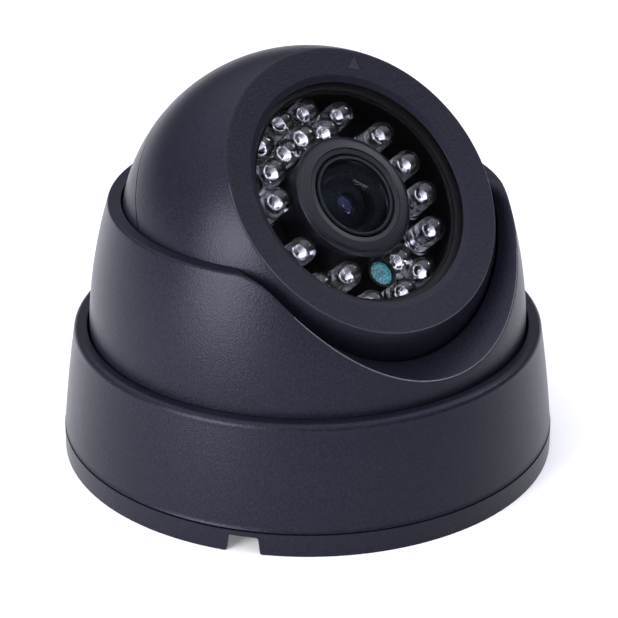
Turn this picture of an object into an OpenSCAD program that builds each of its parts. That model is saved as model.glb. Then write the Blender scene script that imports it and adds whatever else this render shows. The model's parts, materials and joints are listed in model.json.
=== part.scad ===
// Ceiling dome camera: twist-on base, panning collar, gimballed eyeball with an infrared lamp cluster.
// Origin: centre of the mounting face. +Z points out of the ceiling, -Y is the camera's front.

/* [Base] */
// Diameter of the base plate and of the foot of the cover
base_d = 93.2; // [92.4:0.2:94]
// Height of the base plate's rim
plate_h = 4.3; // [4.2:0.1:4.4]
// Gap of the parting line between plate and cover
parting = 0.16; // [0.12:0.02:0.3]
// Height of the top of the base cover
cover_top = 24.9; // [24.5:0.1:25.4]
// Azimuth of the cable notch from the front, positive to the right
notch_azimuth = -54.8; // [-58:0.1:-52]
// Width of the cable notch at its top
notch_top_w = 5.6; // [5.4:0.1:6.2]
// Width of the cable notch at its foot
notch_foot_w = 6.2; // [6:0.1:7]
// Height of the cable notch
notch_h = 3.35; // [3.2:0.05:3.5]
// Bolt circle of the ceiling screws
screw_pcd = 60; // [52:1:64]
// Diameter of the ceiling screw holes
screw_hole_d = 4.4; // [3.6:0.1:5]
// Diameter of the central cable opening
cable_opening_d = 22; // [18:1:24]

/* [Collar] */
// Height of the collar's rim
rim_z = 49.6; // [49:0.1:50]
// Outer radius at the foot of the collar
collar_foot_r = 41.2; // [41.05:0.05:41.35]
// Wall thickness of the collar
collar_wall = 1.8; // [1.6:0.1:1.9]
// Radius of the front scoop
scoop_r = 33.2; // [32.4:0.1:34]
// Lowest height of the front scoop at the outside
scoop_z = 28.3; // [27.5:0.1:29.5]
// Inward rise of the scoop's shelf, degrees
scoop_rise = 6.4; // [4:0.2:8]
// Radius of the round shoulder between scoop and rim
shoulder_r = 3.7; // [3:0.1:4.2]
// Drop of the shoulder's crest below the rim where the shelf starts
shoulder_drop = 2.6; // [2.2:0.1:3]

/* [Eyeball] */
// Diameter of the ball
ball_d = 70; // [69.8:0.1:70.1]
// Height of the ball's centre
ball_z = 41.9; // [41.8:0.1:42.2]
// Elevation of the optical axis at rest, degrees
rest_elevation = 42.3; // [38:0.1:48]
// Roll of the ball at rest, clockwise from the front, degrees
rest_roll = 26; // [-30:1:30]
// Distance from the ball's centre to the flat bezel
face_t = 21.2; // [21:0.1:21.5]
// Radius of the view opening in the bezel
view_r = 21.6; // [21.3:0.05:21.8]
// Distance of the seam behind the ball's centre
seam_t = 0.8; // [0.6:0.1:1.2]

/* [Lamps] */
// Diameter of a lamp
led_d = 4.9; // [4.8:0.05:4.95]
// Height of a lamp above its board
led_h = 8.6; // [8.2:0.1:8.7]
// Front face of the lamp board, from the ball's centre
board_t = 8.4; // [8.2:0.1:8.5]

/* [Hidden] */
$fn = 96;
ball_r = ball_d / 2;
ball_wall = 1.9;
bore_r = ball_r - ball_wall;
gap = 0.35; // running gap between the ball and what surrounds it
seam_play = 0.1; // half the gap between the ball's two shells
big = 200;
tiny = 0.01;

// Base
base_r = base_d / 2;
web_h = 2.2;
rim_wall = 2;
notch_wall = 1;
seat_r = 41.9;
seat_wall = 2;
seat_top = 14.2;
friction_h = 1;
ear_r = 43.3;
ear_z = 7;
ear_h = 1.6;
ear_span = 24;
ear_count = 3;
stop_span = 3;
lug_r = 42.3;
lug_z = 5.2;
lug_h = 1.5;
lug_play = 0.6; // degrees between a lug and its stop when locked
boss_r = 5;
boss_h = 4;
head_r = 4.1;
head_z = 2.4;
rib_w = 1.4;
rib_h = 1.2;
screw_count = 3;

// Cover: the outer radius falls as a parabola of the height
cover_foot = plate_h + parting;
cover_bore_r = 41.55;
step_z = 17.8;
cover_skirt_r = 43.65;
cover_foot_r = 44.8;
cover_edge = 1.3;
skirt_z = 14; // where the cover's wall starts to thin towards its foot
function cover_r(z) = base_r + 0.25 - 0.07 * z - 0.0018 * z * z;

// Collar: the outer radius falls as a parabola of the height above its foot
foot_z = 25;
flange_r = 43.25;
flange_z = 15.5;
flange_h = 2;
function collar_r(z) = collar_foot_r - 0.035 * (z - foot_z) - 0.0056 * (z - foot_z) ^ 2;

// Tilt bracket and its pivots, on the X axis through the ball's centre
strap_in = ball_r + gap;
strap_out = strap_in + 1.1;
strap_w = 8;
strap_end_r = 4.5;
strap_ring_r = 9;
pad_x = strap_out + 0.3;
pad_r = 3.6;
pad_h = 0.9;
pocket_r = 5; // room in the collar's wall for the strap's round end
pocket_h = 3;
pin_r = 1.5;
pin_play = 0.05;
pin_end_x = pad_x + 1.35;
washer_r = 3.4;
washer_h = 0.25;

// Hollow hub at the back of the ball
hub_r = 5.9;
hub_bore_r = 4;
hub_end_t = -(strap_out + 0.85);
hub_h = 6.3;
clip_r = 8;
clip_in_r = 5.4;
clip_h = 0.4;
clip_t = -(strap_out + 0.25 + clip_h);
cable_r = 2.6;

// Bezel and window
lip_drop = 0.65; // the bezel is slightly dished towards the view opening
lip_r = view_r + 1.15; // outer edge of the opening's chamfer
lip_h = 0.25; // upright edge that the chamfer ends on
face_r = sqrt(ball_r ^ 2 - face_t ^ 2);
window_t = 18.5;
window_h = 1.4;
window_front = window_t + window_h;
seat_t = window_t - 0.2; // where the window's seat opens into the well
window_r = 23.05;
well_in_r = 23.5;
well_out_r = 25;
well_t = 12;
seal_h = 0.4;
retainer_r = 23.35;
retainer_in_r = 22.5;
retainer_lip_r = 20.2;
retainer_lip_h = 0.9;
mark_r = 26.7;
mark_h = 2.4;
mark_w = 2.5;
mark_relief = 0.2;
mark_t = face_t - lip_drop * (face_r - mark_r + mark_h / 2) / (face_r - lip_r);

// Boards
pcb_h = 1.6;
led_board_r = 23.35;
ear_hole_r = 27.2;
ear_pad_r = 3.2;
board_hole_r = 8.6;
sensor_board_w = 38;
sensor_t = -5.4; // front face of the sensor board
m2_r = 1;
m2_head_r = 1.9;
m2_head_h = 1.3;
board_boss_r = 2.6;
ball_boss_r = 29.6;
ball_boss_od = 7.2;
ball_head_t = -12;
standoff_r = 2.3;

// Lens
shroud_r = 11.8;
shroud_in_r = 8.2;
shroud_top = 18.3;
barrel_r = 7.9;
barrel_top = 18;
barrel_shoulder = 9.5;
thread_r = 6;
thread_play = 0.05;
barrel_foot = -1.5;
glass_r = 7.55;
glass_seat_t = 15.4;
glass_edge_t = 16.8;
glass_dome_r = 21;
lens_ring_r = 7.62;
lens_ring_t = 17.1;
holder_r = 8.1;
holder_w = 17;
holder_top = 7.4;

// Lamps: [radius, angle] of each around the optical axis, counterclockwise from the unrolled ball's right
LAMPS = [
    [17.6, 15.7], [17.3, 37.2], [17.7, 60.7], [17.9, 90.3], [14.3, 103], [18.5, 113.5], [14.3, 125],
    [18.8, 132.5], [14.3, 146], [18.9, 154], [15.3, 166], [19.9, 179.6], [14.5, 188.4], [14.9, 228.3],
    [18.8, 248.5], [14.3, 267.6], [19.6, 281.1], [19.2, 304.2], [14.3, 316], [18.8, 323.8], [18.2, 352.8]
];
flange_full_r = 2.9;
flange_thick = 1;
photocell_at = [14.6, 293.8];
photocell_r = 2.3;
sleeve_r = 2.85;
photocell_top = 15.6;

// Polar places of the board's fixings, clear of the lamps
STANDOFFS = [[14.2, 76], [17.6, 208.6], [15.2, 338.3]];
EARS = [30, 150, 270];
BALL_SCREWS = [90, 210, 330];

function two_digits(i) = i < 10 ? str("0", i) : str(i);
function polar(p) = [p[0] * cos(p[1]), p[0] * sin(p[1])];
function led_name(i) = str("ir_led_", two_digits(i + 1));
// Largest base flange that clears a lamp's neighbours, the photocell and the window retainer
function flange_room(i) = min(concat(
    [for (j = [0 : len(LAMPS) - 1]) if (j != i) norm(polar(LAMPS[i]) - polar(LAMPS[j])) / 2 - 0.02],
    [norm(polar(LAMPS[i]) - polar(photocell_at)) - sleeve_r - 0.03, retainer_in_r - LAMPS[i][0] - 0.03]
));
// An arc about centre c, from angle a to angle b in n steps
function arc(c, r, a, b, n) = [
    for (i = [0 : n]) let (turn = a + (b - a) * i / n) c + r * [cos(turn), sin(turn)]
];

PLASTIC = [0.19, 0.19, 0.23];
BLACK = [0.05, 0.05, 0.06];
STEEL = [0.72, 0.73, 0.75];
GREEN = [0.05, 0.28, 0.16];

// ---- helpers ----

module tube(r_out, r_in, h) {
    difference() {
        cylinder(r = r_out, h = h);
        translate([0, 0, -1]) cylinder(r = r_in, h = h + 2);
    }
}

// A stretch of a ring, centred on the X direction
module ring_part(r_in, r_out, z, h, span) {
    rotate([0, 0, -span / 2]) rotate_extrude(angle = span) translate([r_in, z]) square([r_out - r_in, h]);
}

// Places its children around the Z axis
module around(angles, r = 0) {
    for (a = angles) rotate([0, 0, a]) translate([r, 0, 0]) children();
}

// The ball's frame: Z along the optical axis, Y up the bezel
module optical() {
    translate([0, 0, ball_z]) rotate([90 - rest_elevation, 0, 0]) children();
}

// The ball's own frame, rolled as the ball is at rest
module eyeball() {
    optical() rotate([0, 0, -rest_roll]) children();
}

// All space between two planes across the optical axis
module between(low, high) {
    translate([-big / 2, -big / 2, low]) cube([big, big, high - low]);
}

// ---- base ----

// Cable notch with rounded corners; behind it the lead's passage runs through rim, web and ribs
module notch_cut() {
    foot = notch_foot_w / 2;
    top = notch_top_w / 2;
    corner = 0.4;
    reach = 1;
    start = 36;
    pocket = foot + 1.5;
    inner_end = seat_r - seat_wall - 0.7;
    right = concat(
        [[foot + corner, -reach]], arc([foot + corner, corner], corner, 270, 180, 4),
        arc([top - corner, notch_h - corner], corner, 0, 90, 4)
    );
    left = [for (i = [len(right) - 1 : -1 : 0]) [-right[i][0], right[i][1]]];
    rotate([0, 0, notch_azimuth - 90]) translate([start, 0, 0]) {
        rotate([90, 0, 90]) linear_extrude(height = 14) polygon(concat(right, left));
        translate([0, -pocket, -reach]) {
            cube([base_r - notch_wall - start, 2 * pocket, notch_h + reach]);
            cube([inner_end - start, 2 * pocket, web_h + rib_h + 2 * reach]);
        }
    }
}

module base_plate() {
    channel_w = 8;
    color(PLASTIC) difference() {
        union() {
            cylinder(r = base_r, h = web_h);
            tube(base_r, base_r - rim_wall, plate_h);
            tube(seat_r, seat_r - seat_wall, seat_top);
            around([for (i = [0 : screw_count - 1]) 90 + i * 360 / screw_count], screw_pcd / 2)
                cylinder(r = boss_r, h = boss_h);
            around([for (i = [0 : 5]) 30 + i * 60])
                translate([cable_opening_d / 2 + 2, -rib_w / 2, web_h - 0.2])
                    cube([seat_r - seat_wall - cable_opening_d / 2 - 1.5, rib_w, rib_h + 0.2]);
            for (i = [0 : ear_count - 1]) rotate([0, 0, i * 360 / ear_count]) {
                ring_part(seat_r - 0.5, ear_r, ear_z, ear_h, ear_span);
                rotate([0, 0, -(ear_span + stop_span) / 2 - lug_play])
                    ring_part(seat_r - 0.5, ear_r, lug_z - 0.3, ear_z + ear_h - lug_z + 0.3, stop_span);
            }
        }
        translate([0, 0, -1]) cylinder(d = cable_opening_d, h = web_h + rib_h + 2);
        around([for (i = [0 : screw_count - 1]) 90 + i * 360 / screw_count], screw_pcd / 2) {
            translate([0, 0, -1]) cylinder(d = screw_hole_d, h = boss_h + 2);
            translate([0, 0, head_z]) cylinder(r = head_r, h = boss_h);
        }
        notch_cut();
        rotate([0, 0, notch_azimuth - 90])
            translate([seat_r - seat_wall - 1, -channel_w / 2, web_h + tiny])
            cube([seat_wall + 3, channel_w, seat_top]);
    }
}

module pan_friction_ring() {
    color(BLACK) translate([0, 0, seat_top]) tube(seat_r - 0.2, seat_r - seat_wall + 0.2, friction_h);
}

module base_cover() {
    steps = 10;
    side_top = cover_top - cover_edge;
    side_h = side_top - cover_foot;
    corner = [cover_r(side_top) - cover_edge, side_top];
    color(PLASTIC) {
        rotate_extrude($fn = 180) polygon(concat(
            [[cover_foot_r, cover_foot]],
            [for (i = [0 : steps]) let (z = cover_foot + side_h * i / steps) [cover_r(z), z]],
            arc(corner, cover_edge, 9, 90, 6),
            [
                [cover_bore_r, cover_top], [cover_bore_r, step_z],
                [cover_skirt_r, step_z], [cover_skirt_r, skirt_z]
            ]
        ));
        for (i = [0 : ear_count - 1]) rotate([0, 0, i * 360 / ear_count])
            ring_part(lug_r, cover_foot_r + 0.3, lug_z, lug_h, ear_span);
    }
}

// ---- collar ----

// Outline of the front scoop seen from the front, grown outwards by g
function scoop_outline(g) =
    let (
        crest = rim_z - shoulder_drop,
        centre = [0, scoop_z + scoop_r],
        drop = centre[1] - crest + shoulder_r,
        side = sqrt((scoop_r + shoulder_r) ^ 2 - drop ^ 2),
        turn = atan2(drop, side),
        right = arc([side, crest - shoulder_r], shoulder_r - g, 180 - turn, 90, 6),
        left = [for (i = [6 : -1 : 0]) [-right[i][0], right[i][1]]]
    )
    concat(
        left, arc(centre, scoop_r + g, 180 + turn, 360 - turn, 34), right,
        [[60, crest - g], [60, 90], [-60, 90], [-60, crest - g]]
    );

// The space that the scoop takes, its shelf rising inwards
module scoop_cut(g) {
    outer_y = collar_r(scoop_z);
    back = 46;
    translate([0, -outer_y, scoop_z]) rotate([90 + scoop_rise, 0, 0]) translate([0, -scoop_z, -back])
        linear_extrude(height = back + 10) polygon(scoop_outline(g));
}

function collar_profile(inset, low) = [
    for (i = [0 : 12]) let (z = low + (rim_z - low) * i / 12) [collar_r(z) - inset, z]
];

module collar_skin(inset) {
    rotate_extrude($fn = 180)
        polygon(concat([[0, foot_z]], collar_profile(inset, foot_z), [[0, rim_z]]));
}

// Children along the X axis, outwards from x on either side of the ball's centre
module pivots(x) {
    for (s = [-1, 1]) translate([s * x, 0, ball_z]) rotate([0, s * 90, 0]) children();
}

module turret_collar() {
    inner_r = collar_foot_r - collar_wall;
    color(PLASTIC) difference() {
        union() {
            difference() {
                collar_skin(0);
                intersection() {
                    collar_skin(collar_wall);
                    translate([0, 0, rim_z - collar_wall - big]) cylinder(r = big, h = big);
                    scoop_rest();
                }
            }
            translate([0, 0, flange_z]) tube(collar_foot_r, inner_r, foot_z - flange_z + tiny);
            translate([0, 0, flange_z]) tube(flange_r, inner_r, flange_h);
            pivots(pad_x) cylinder(r = pad_r, h = pad_h);
        }
        scoop_cut(0);
        pivots(pad_x - pocket_h) cylinder(r = pocket_r, h = pocket_h);
        translate([0, 0, ball_z]) sphere(r = ball_r + gap, $fn = 180);
        translate([0, 0, foot_z - 1]) cylinder(r = inner_r, h = 1 + tiny);
        pivots(pad_x - 1) cylinder(r = pin_r + pin_play, h = pin_end_x - pad_x + 1.1);
    }
}

// All that lies below the shelf's thickness
module scoop_rest() {
    difference() {
        translate([0, 0, big / 2 - 50]) cube([big, big, big], center = true);
        scoop_cut(collar_wall);
    }
}

// ---- tilt bracket ----

module tilt_bracket() {
    color(STEEL) difference() {
        optical() difference() {
            intersection() {
                difference() {
                    sphere(r = strap_out, $fn = 180);
                    sphere(r = strap_in, $fn = 180);
                }
                union() {
                    translate([-big / 2, -strap_w / 2, -big / 2]) cube([big, strap_w, big / 2]);
                    translate([0, 0, -big / 2]) cylinder(r = strap_ring_r, h = big / 2 - 20);
                    rotate([0, 90, 0]) translate([0, 0, -big / 2]) cylinder(r = strap_end_r, h = big);
                }
            }
            translate([0, 0, -big / 2]) cylinder(r = hub_r + pin_play, h = big / 2);
        }
        pivots(0) cylinder(r = pin_r, h = big / 2);
    }
}

module pivot_pins() {
    color(STEEL) pivots(strap_in + 0.05) cylinder(r = pin_r, h = pin_end_x - strap_in - 0.1);
}

module friction_washers() {
    color(STEEL) pivots(strap_out + 0.03) tube(washer_r, pin_r + pin_play, washer_h);
}

// ---- eyeball ----

module face_cut() {
    far = 60;
    rotate_extrude($fn = 180) polygon([
        [0, face_t - lip_drop], [lip_r, face_t - lip_drop], [face_r, face_t],
        [far, face_t], [far, far], [0, far]
    ]);
}

module ball_front_shell() {
    boss_h = 14;
    ear_boss_h = 10.5;
    thread_h = 8;
    well_top = 17.8; // where the window's well leaves the bezel
    web_r = 28.6;
    web_top = 20;
    color(PLASTIC) eyeball() {
        difference() {
            union() {
                intersection() {
                    difference() {
                        sphere(r = ball_r, $fn = 180);
                        sphere(r = bore_r, $fn = 180);
                    }
                    between(seam_play - seam_t, face_t + 1);
                }
                rotate_extrude($fn = 180) polygon([
                    [view_r, window_front], [view_r, window_front + lip_h], [lip_r, face_t - lip_drop],
                    [face_r, face_t], [web_r, web_top], [web_r, well_top],
                    [well_out_r, well_top], [well_out_r, well_t], [well_in_r, well_t], [well_in_r, seat_t],
                    [window_r + 0.1, seat_t], [window_r + 0.1, window_front]
                ]);
                intersection() {
                    sphere(r = ball_r - 0.6, $fn = 180);
                    union() {
                        around(EARS, ear_hole_r)
                            translate([0, 0, board_t]) cylinder(r = board_boss_r, h = ear_boss_h);
                        around(BALL_SCREWS, ball_boss_r)
                            translate([0, 0, seam_play - seam_t]) cylinder(r = board_boss_r, h = boss_h);
                    }
                }
            }
            face_cut();
            around(EARS, ear_hole_r) translate([0, 0, board_t - 1]) cylinder(r = m2_r, h = thread_h);
            around(BALL_SCREWS, ball_boss_r) translate([0, 0, -2]) cylinder(r = m2_r, h = boss_h - 2);
        }
        rotate([0, 0, 90]) translate([mark_r - mark_h, 0, mark_t - mark_h / 4])
            linear_extrude(height = mark_h / 4 + mark_relief)
                polygon([[0, -mark_w / 2], [mark_h, 0], [0, mark_w / 2]]);
    }
}

module ball_rear_shell() {
    lip_in_r = 32.3;
    lip_out_r = 32.9;
    boss_h = 22;
    hole_h = 30;
    color(PLASTIC) eyeball() difference() {
        union() {
            intersection() {
                difference() {
                    sphere(r = ball_r, $fn = 180);
                    sphere(r = bore_r, $fn = 180);
                }
                between(-big / 2, -seam_t - seam_play);
            }
            translate([0, 0, -5]) tube(lip_out_r, lip_in_r, 6.2);
            translate([0, 0, hub_end_t]) cylinder(r = hub_r, h = hub_h);
            intersection() {
                sphere(r = ball_r - 0.6, $fn = 180);
                around(BALL_SCREWS, ball_boss_r)
                    translate([0, 0, -boss_h]) cylinder(d = ball_boss_od, h = boss_h - seam_t - seam_play);
            }
        }
        translate([0, 0, -big / 2]) cylinder(r = hub_bore_r, h = big / 2);
        translate([0, 0, clip_t - 0.02]) difference() {
            cylinder(r = hub_r + 1, h = clip_h + 0.04);
            translate([0, 0, -1]) cylinder(r = clip_in_r, h = 3);
        }
        around(BALL_SCREWS, ball_boss_r) {
            translate([0, 0, -hole_h]) cylinder(r = m2_r + 0.1, h = hole_h + 2);
            translate([0, 0, -hole_h]) cylinder(r = m2_head_r + 0.5, h = hole_h + ball_head_t);
        }
    }
}

module screw(length) {
    difference() {
        union() {
            cylinder(r = m2_r - 0.02, h = length);
            translate([0, 0, -m2_head_h]) cylinder(r = m2_head_r, h = m2_head_h + tiny);
        }
        for (a = [0, 90]) rotate([0, 0, a])
            translate([-1.2, -0.25, -m2_head_h - 1]) cube([2.4, 0.5, 1.7]);
    }
}

module ball_screws() {
    length = 21;
    color(STEEL) eyeball() around(BALL_SCREWS, ball_boss_r)
        translate([0, 0, ball_head_t - 2 * tiny]) screw(length);
}

module hub_clip() {
    color(STEEL) eyeball() translate([0, 0, clip_t]) difference() {
        tube(clip_r, clip_in_r + 0.02, clip_h);
        translate([0, -clip_in_r * 0.7, -1]) cube([clip_r + 1, clip_in_r * 1.4, 3]);
    }
}

module cable_grommet() {
    color(BLACK) eyeball() translate([0, 0, hub_end_t]) difference() {
        union() {
            cylinder(r = hub_bore_r - 0.01, h = hub_h + 1);
            translate([0, 0, hub_h + tiny]) cylinder(r = hub_r, h = 1.2);
        }
        translate([0, 0, -1]) cylinder(r = cable_r, h = hub_h + 4);
    }
}

module front_window() {
    color([0.8, 0.88, 0.92, 0.3]) eyeball()
        translate([0, 0, window_t]) cylinder(r = window_r, h = window_h - tiny);
}

module window_seal() {
    color(BLACK) eyeball()
        translate([0, 0, window_t - seal_h - tiny]) tube(window_r, retainer_lip_r + 0.6, seal_h);
}

module window_retainer() {
    top = window_t - seal_h - 2 * tiny;
    color(BLACK) eyeball() rotate_extrude($fn = 180) polygon([
        [retainer_in_r, board_t + tiny], [retainer_r, board_t + tiny], [retainer_r, top],
        [retainer_lip_r, top], [retainer_lip_r, top - retainer_lip_h], [retainer_in_r, top - retainer_lip_h]
    ]);
}

module led_board() {
    color(GREEN) eyeball() translate([0, 0, board_t - pcb_h]) difference() {
        union() {
            cylinder(r = led_board_r, h = pcb_h);
            around(EARS) translate([led_board_r - 2, -ear_pad_r, 0])
                cube([ear_hole_r - led_board_r + 2, 2 * ear_pad_r, pcb_h]);
            around(EARS, ear_hole_r) cylinder(r = ear_pad_r, h = pcb_h);
        }
        translate([0, 0, -1]) {
            cylinder(r = board_hole_r, h = 4);
            around(EARS, ear_hole_r) cylinder(r = m2_r + 0.1, h = 4);
            for (p = STANDOFFS) translate(polar(p)) cylinder(r = m2_r + 0.1, h = 4);
        }
    }
}

// A 5 mm lamp: round base flange, barrel and dome; the flange is trimmed where its neighbours crowd it
module ir_led(i) {
    r = led_d / 2;
    flange = min(flange_full_r, flange_room(i));
    color([0.85, 0.87, 0.9, 0.6]) eyeball() translate(concat(polar(LAMPS[i]), board_t + tiny))
        rotate_extrude($fn = 48) polygon(concat(
            [[0, 0], [max(flange, r), 0], [max(flange, r), flange_thick], [r, flange_thick]],
            arc([0, led_h - r - tiny], r, 0, 90, 7)
        ));
}

module photocell() {
    color([0.1, 0.45, 0.5]) eyeball() translate(concat(polar(photocell_at), board_t + 3))
        cylinder(r = photocell_r, h = photocell_top - board_t - 3.6);
}

module photocell_sleeve() {
    color(BLACK) eyeball() translate(concat(polar(photocell_at), board_t + tiny))
        tube(sleeve_r, photocell_r + tiny, photocell_top - board_t);
}

module lens_shroud() {
    neck_r = 11.2;
    flange_low = 15.8;
    color(BLACK) eyeball() rotate_extrude($fn = 120) polygon([
        [shroud_in_r, board_t + tiny], [neck_r, board_t + tiny], [neck_r, flange_low],
        [shroud_r, flange_low], [shroud_r, shroud_top - 0.3], [shroud_r - 0.3, shroud_top],
        [shroud_in_r + 0.5, shroud_top], [shroud_in_r, shroud_top - 0.5]
    ]);
}

module lens_holder() {
    foot_h = 4;
    lug_x = 10;
    lug_pad_r = 2.4;
    bay = 12;
    color(BLACK) eyeball() translate([0, 0, sensor_t + tiny]) difference() {
        union() {
            translate([-holder_w / 2, -holder_w / 2, 0]) cube([holder_w, holder_w, foot_h]);
            translate([-lug_x, -lug_pad_r, 0]) cube([2 * lug_x, 2 * lug_pad_r, 2]);
            for (s = [-1, 1]) translate([s * lug_x, 0, 0]) cylinder(r = lug_pad_r, h = 2);
            cylinder(r = holder_r, h = holder_top - sensor_t);
        }
        translate([-bay / 2, -bay / 2, -1]) cube([bay, bay, 3.2]);
        translate([0, 0, 3.2]) cylinder(r = thread_r + thread_play, h = 20);
        cylinder(r = 4.4, h = 10);
        for (s = [-1, 1]) translate([s * lug_x, 0, -1]) cylinder(r = m2_r + 0.1, h = 4);
    }
}

module holder_screws() {
    color(STEEL) eyeball() for (x = [-10, 10]) translate([x, 0, sensor_t - pcb_h - tiny]) screw(3.4);
}

module ir_cut_filter() {
    color([0.8, 0.35, 0.3, 0.6]) eyeball() translate([-4.8, -4.8, sensor_t + 1.4]) cube([9.6, 9.6, 0.7]);
}

module image_sensor() {
    color([0.25, 0.25, 0.3]) eyeball() translate([-4, -4, sensor_t + tiny]) cube([8, 8, 1.2]);
}

module sensor_board() {
    half = sensor_board_w / 2;
    color(GREEN) eyeball() translate([0, 0, sensor_t - pcb_h]) difference() {
        translate([-half, -half, 0]) cube([sensor_board_w, sensor_board_w, pcb_h]);
        translate([0, 0, -1]) {
            for (p = STANDOFFS) translate(polar(p)) cylinder(r = m2_r + 0.1, h = 4);
            for (x = [-10, 10]) translate([x, 0, 0]) cylinder(r = m2_r + 0.1, h = 4);
        }
    }
}

module board_standoffs() {
    span = board_t - pcb_h - sensor_t - 2 * tiny;
    color([0.78, 0.62, 0.25]) eyeball() for (p = STANDOFFS) translate(concat(polar(p), sensor_t + tiny))
        difference() {
            cylinder(r = standoff_r, h = span, $fn = 6);
            translate([0, 0, -1]) cylinder(r = m2_r, h = span + 2);
        }
}

module board_screws() {
    length = 5;
    color(STEEL) eyeball() {
        around(EARS, ear_hole_r) translate([0, 0, board_t - pcb_h - tiny]) screw(length);
        for (p = STANDOFFS) {
            translate(concat(polar(p), board_t + tiny)) mirror([0, 0, 1]) screw(length);
            translate(concat(polar(p), sensor_t - pcb_h - tiny)) screw(length);
        }
    }
}

module pin_header() {
    pins = 6;
    pitch = 1.27;
    span = board_t - pcb_h - sensor_t;
    color(BLACK) eyeball()
        translate([-pins * pitch / 2, -15.1, sensor_t + tiny]) cube([pins * pitch, 2.2, span - 2 * tiny]);
}

module power_connector() {
    color([0.9, 0.9, 0.85]) eyeball() translate([-5.5, 14, sensor_t - pcb_h - tiny]) mirror([0, 0, 1])
        difference() {
            translate([-5, -2.25, 0]) cube([10, 4.5, 5.8]);
            translate([-4.2, -1.5, 1.2]) cube([8.4, 3, 6]);
        }
}

module processor_chip() {
    color([0.08, 0.08, 0.09]) eyeball() translate([-4.5, -9, sensor_t - pcb_h - 1.1]) cube([9, 9, 1.09]);
}

// ---- lens ----

module lens_barrel() {
    stop_r = 4;
    rear_glass_r = 4.2;
    color(BLACK) eyeball() rotate_extrude($fn = 120) polygon([
        [rear_glass_r, barrel_foot], [thread_r, barrel_foot], [thread_r, barrel_shoulder],
        [barrel_r, barrel_shoulder], [barrel_r, barrel_top], [lens_ring_r, barrel_top],
        [lens_ring_r, lens_ring_t], [glass_r, lens_ring_t], [glass_r, glass_seat_t],
        [5.6, glass_seat_t], [stop_r, 12.4], [stop_r, 2], [rear_glass_r, 2]
    ]);
}

// A meniscus: domed in front, hollow behind
module front_lens() {
    edge_r = glass_r - tiny;
    hollow_r = 6.8;
    dome_t = glass_edge_t - sqrt(glass_dome_r ^ 2 - edge_r ^ 2);
    color([0.3, 0.25, 0.4, 0.7]) eyeball() difference() {
        intersection() {
            translate([0, 0, dome_t]) sphere(r = glass_dome_r, $fn = 180);
            translate([0, 0, glass_seat_t + tiny]) cylinder(r = edge_r, h = 6);
        }
        translate([0, 0, glass_edge_t - hollow_r]) sphere(r = hollow_r, $fn = 120);
    }
}

module rear_lens() {
    color([0.7, 0.8, 0.85, 0.5]) eyeball()
        translate([0, 0, barrel_foot + 0.4]) cylinder(r = 4.19, h = 2.6);
}

module lens_ring() {
    inner_r = 7.25;
    outer_r = lens_ring_r - tiny;
    color(BLACK) eyeball() rotate_extrude($fn = 120) polygon([
        [inner_r, lens_ring_t + tiny], [outer_r, lens_ring_t + tiny], [outer_r, barrel_top],
        [inner_r + 0.1, barrel_top], [inner_r, barrel_top - 0.1]
    ]);
}

// ---- assembly ----

base_plate();
pan_friction_ring();
base_cover();
turret_collar();
tilt_bracket();
pivot_pins();
friction_washers();
ball_front_shell();
ball_rear_shell();
ball_screws();
hub_clip();
cable_grommet();
front_window();
window_seal();
window_retainer();
led_board();
photocell();
photocell_sleeve();
lens_shroud();
lens_holder();
holder_screws();
ir_cut_filter();
image_sensor();
sensor_board();
board_standoffs();
board_screws();
pin_header();
power_connector();
processor_chip();
lens_barrel();
front_lens();
rear_lens();
lens_ring();
for (i = [0 : len(LAMPS) - 1]) ir_led(i);
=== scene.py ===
"""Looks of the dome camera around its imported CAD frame. Shapes are in mm, and MM turns them into metres."""
import json
import math

import bmesh
import bpy
from mathutils import Matrix, Vector


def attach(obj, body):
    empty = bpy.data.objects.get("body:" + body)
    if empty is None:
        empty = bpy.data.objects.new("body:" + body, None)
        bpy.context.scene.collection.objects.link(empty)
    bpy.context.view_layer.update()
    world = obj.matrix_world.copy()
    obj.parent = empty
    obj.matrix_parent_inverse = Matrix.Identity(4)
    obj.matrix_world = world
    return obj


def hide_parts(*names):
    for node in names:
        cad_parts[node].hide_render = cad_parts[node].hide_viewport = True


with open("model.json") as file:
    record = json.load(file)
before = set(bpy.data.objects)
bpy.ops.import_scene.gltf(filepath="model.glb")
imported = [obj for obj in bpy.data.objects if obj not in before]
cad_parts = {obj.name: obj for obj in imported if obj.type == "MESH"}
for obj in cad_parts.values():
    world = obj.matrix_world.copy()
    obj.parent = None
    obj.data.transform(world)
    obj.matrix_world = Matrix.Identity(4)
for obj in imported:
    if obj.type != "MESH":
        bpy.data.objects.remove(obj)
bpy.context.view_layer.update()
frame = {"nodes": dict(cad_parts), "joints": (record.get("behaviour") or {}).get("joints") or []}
MM = 0.001

# ---- the design's driving dimensions, in mm ----

# base plate and cover
PLATE_R = 46.6
PLATE_H = 4.3
PARTING = 0.16
COVER_TOP = 24.9
COVER_EDGE = 1.3
COVER_BORE = 41.55
COVER_SPREAD = 0.25
COVER_LEAN = 0.07
COVER_CROWN = 0.0018

# turret collar: its wall, the flange under the cover, and the scoop in its front
RIM_Z = 49.6
FOOT_Z = 25.0
COLLAR_FOOT_R = 41.2
COLLAR_LEAN = 0.035
COLLAR_CROWN = 0.0056
COLLAR_WALL = 1.8
FLANGE_R = 43.25
FLANGE_FOOT = 15.5
FLANGE_TOP = 17.5
SCOOP_Z = 28.3
SCOOP_R = 33.2
SCOOP_RISE = math.radians(6.4)
SHOULDER_R = 3.7
SHOULDER_DROP = 2.6

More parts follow.
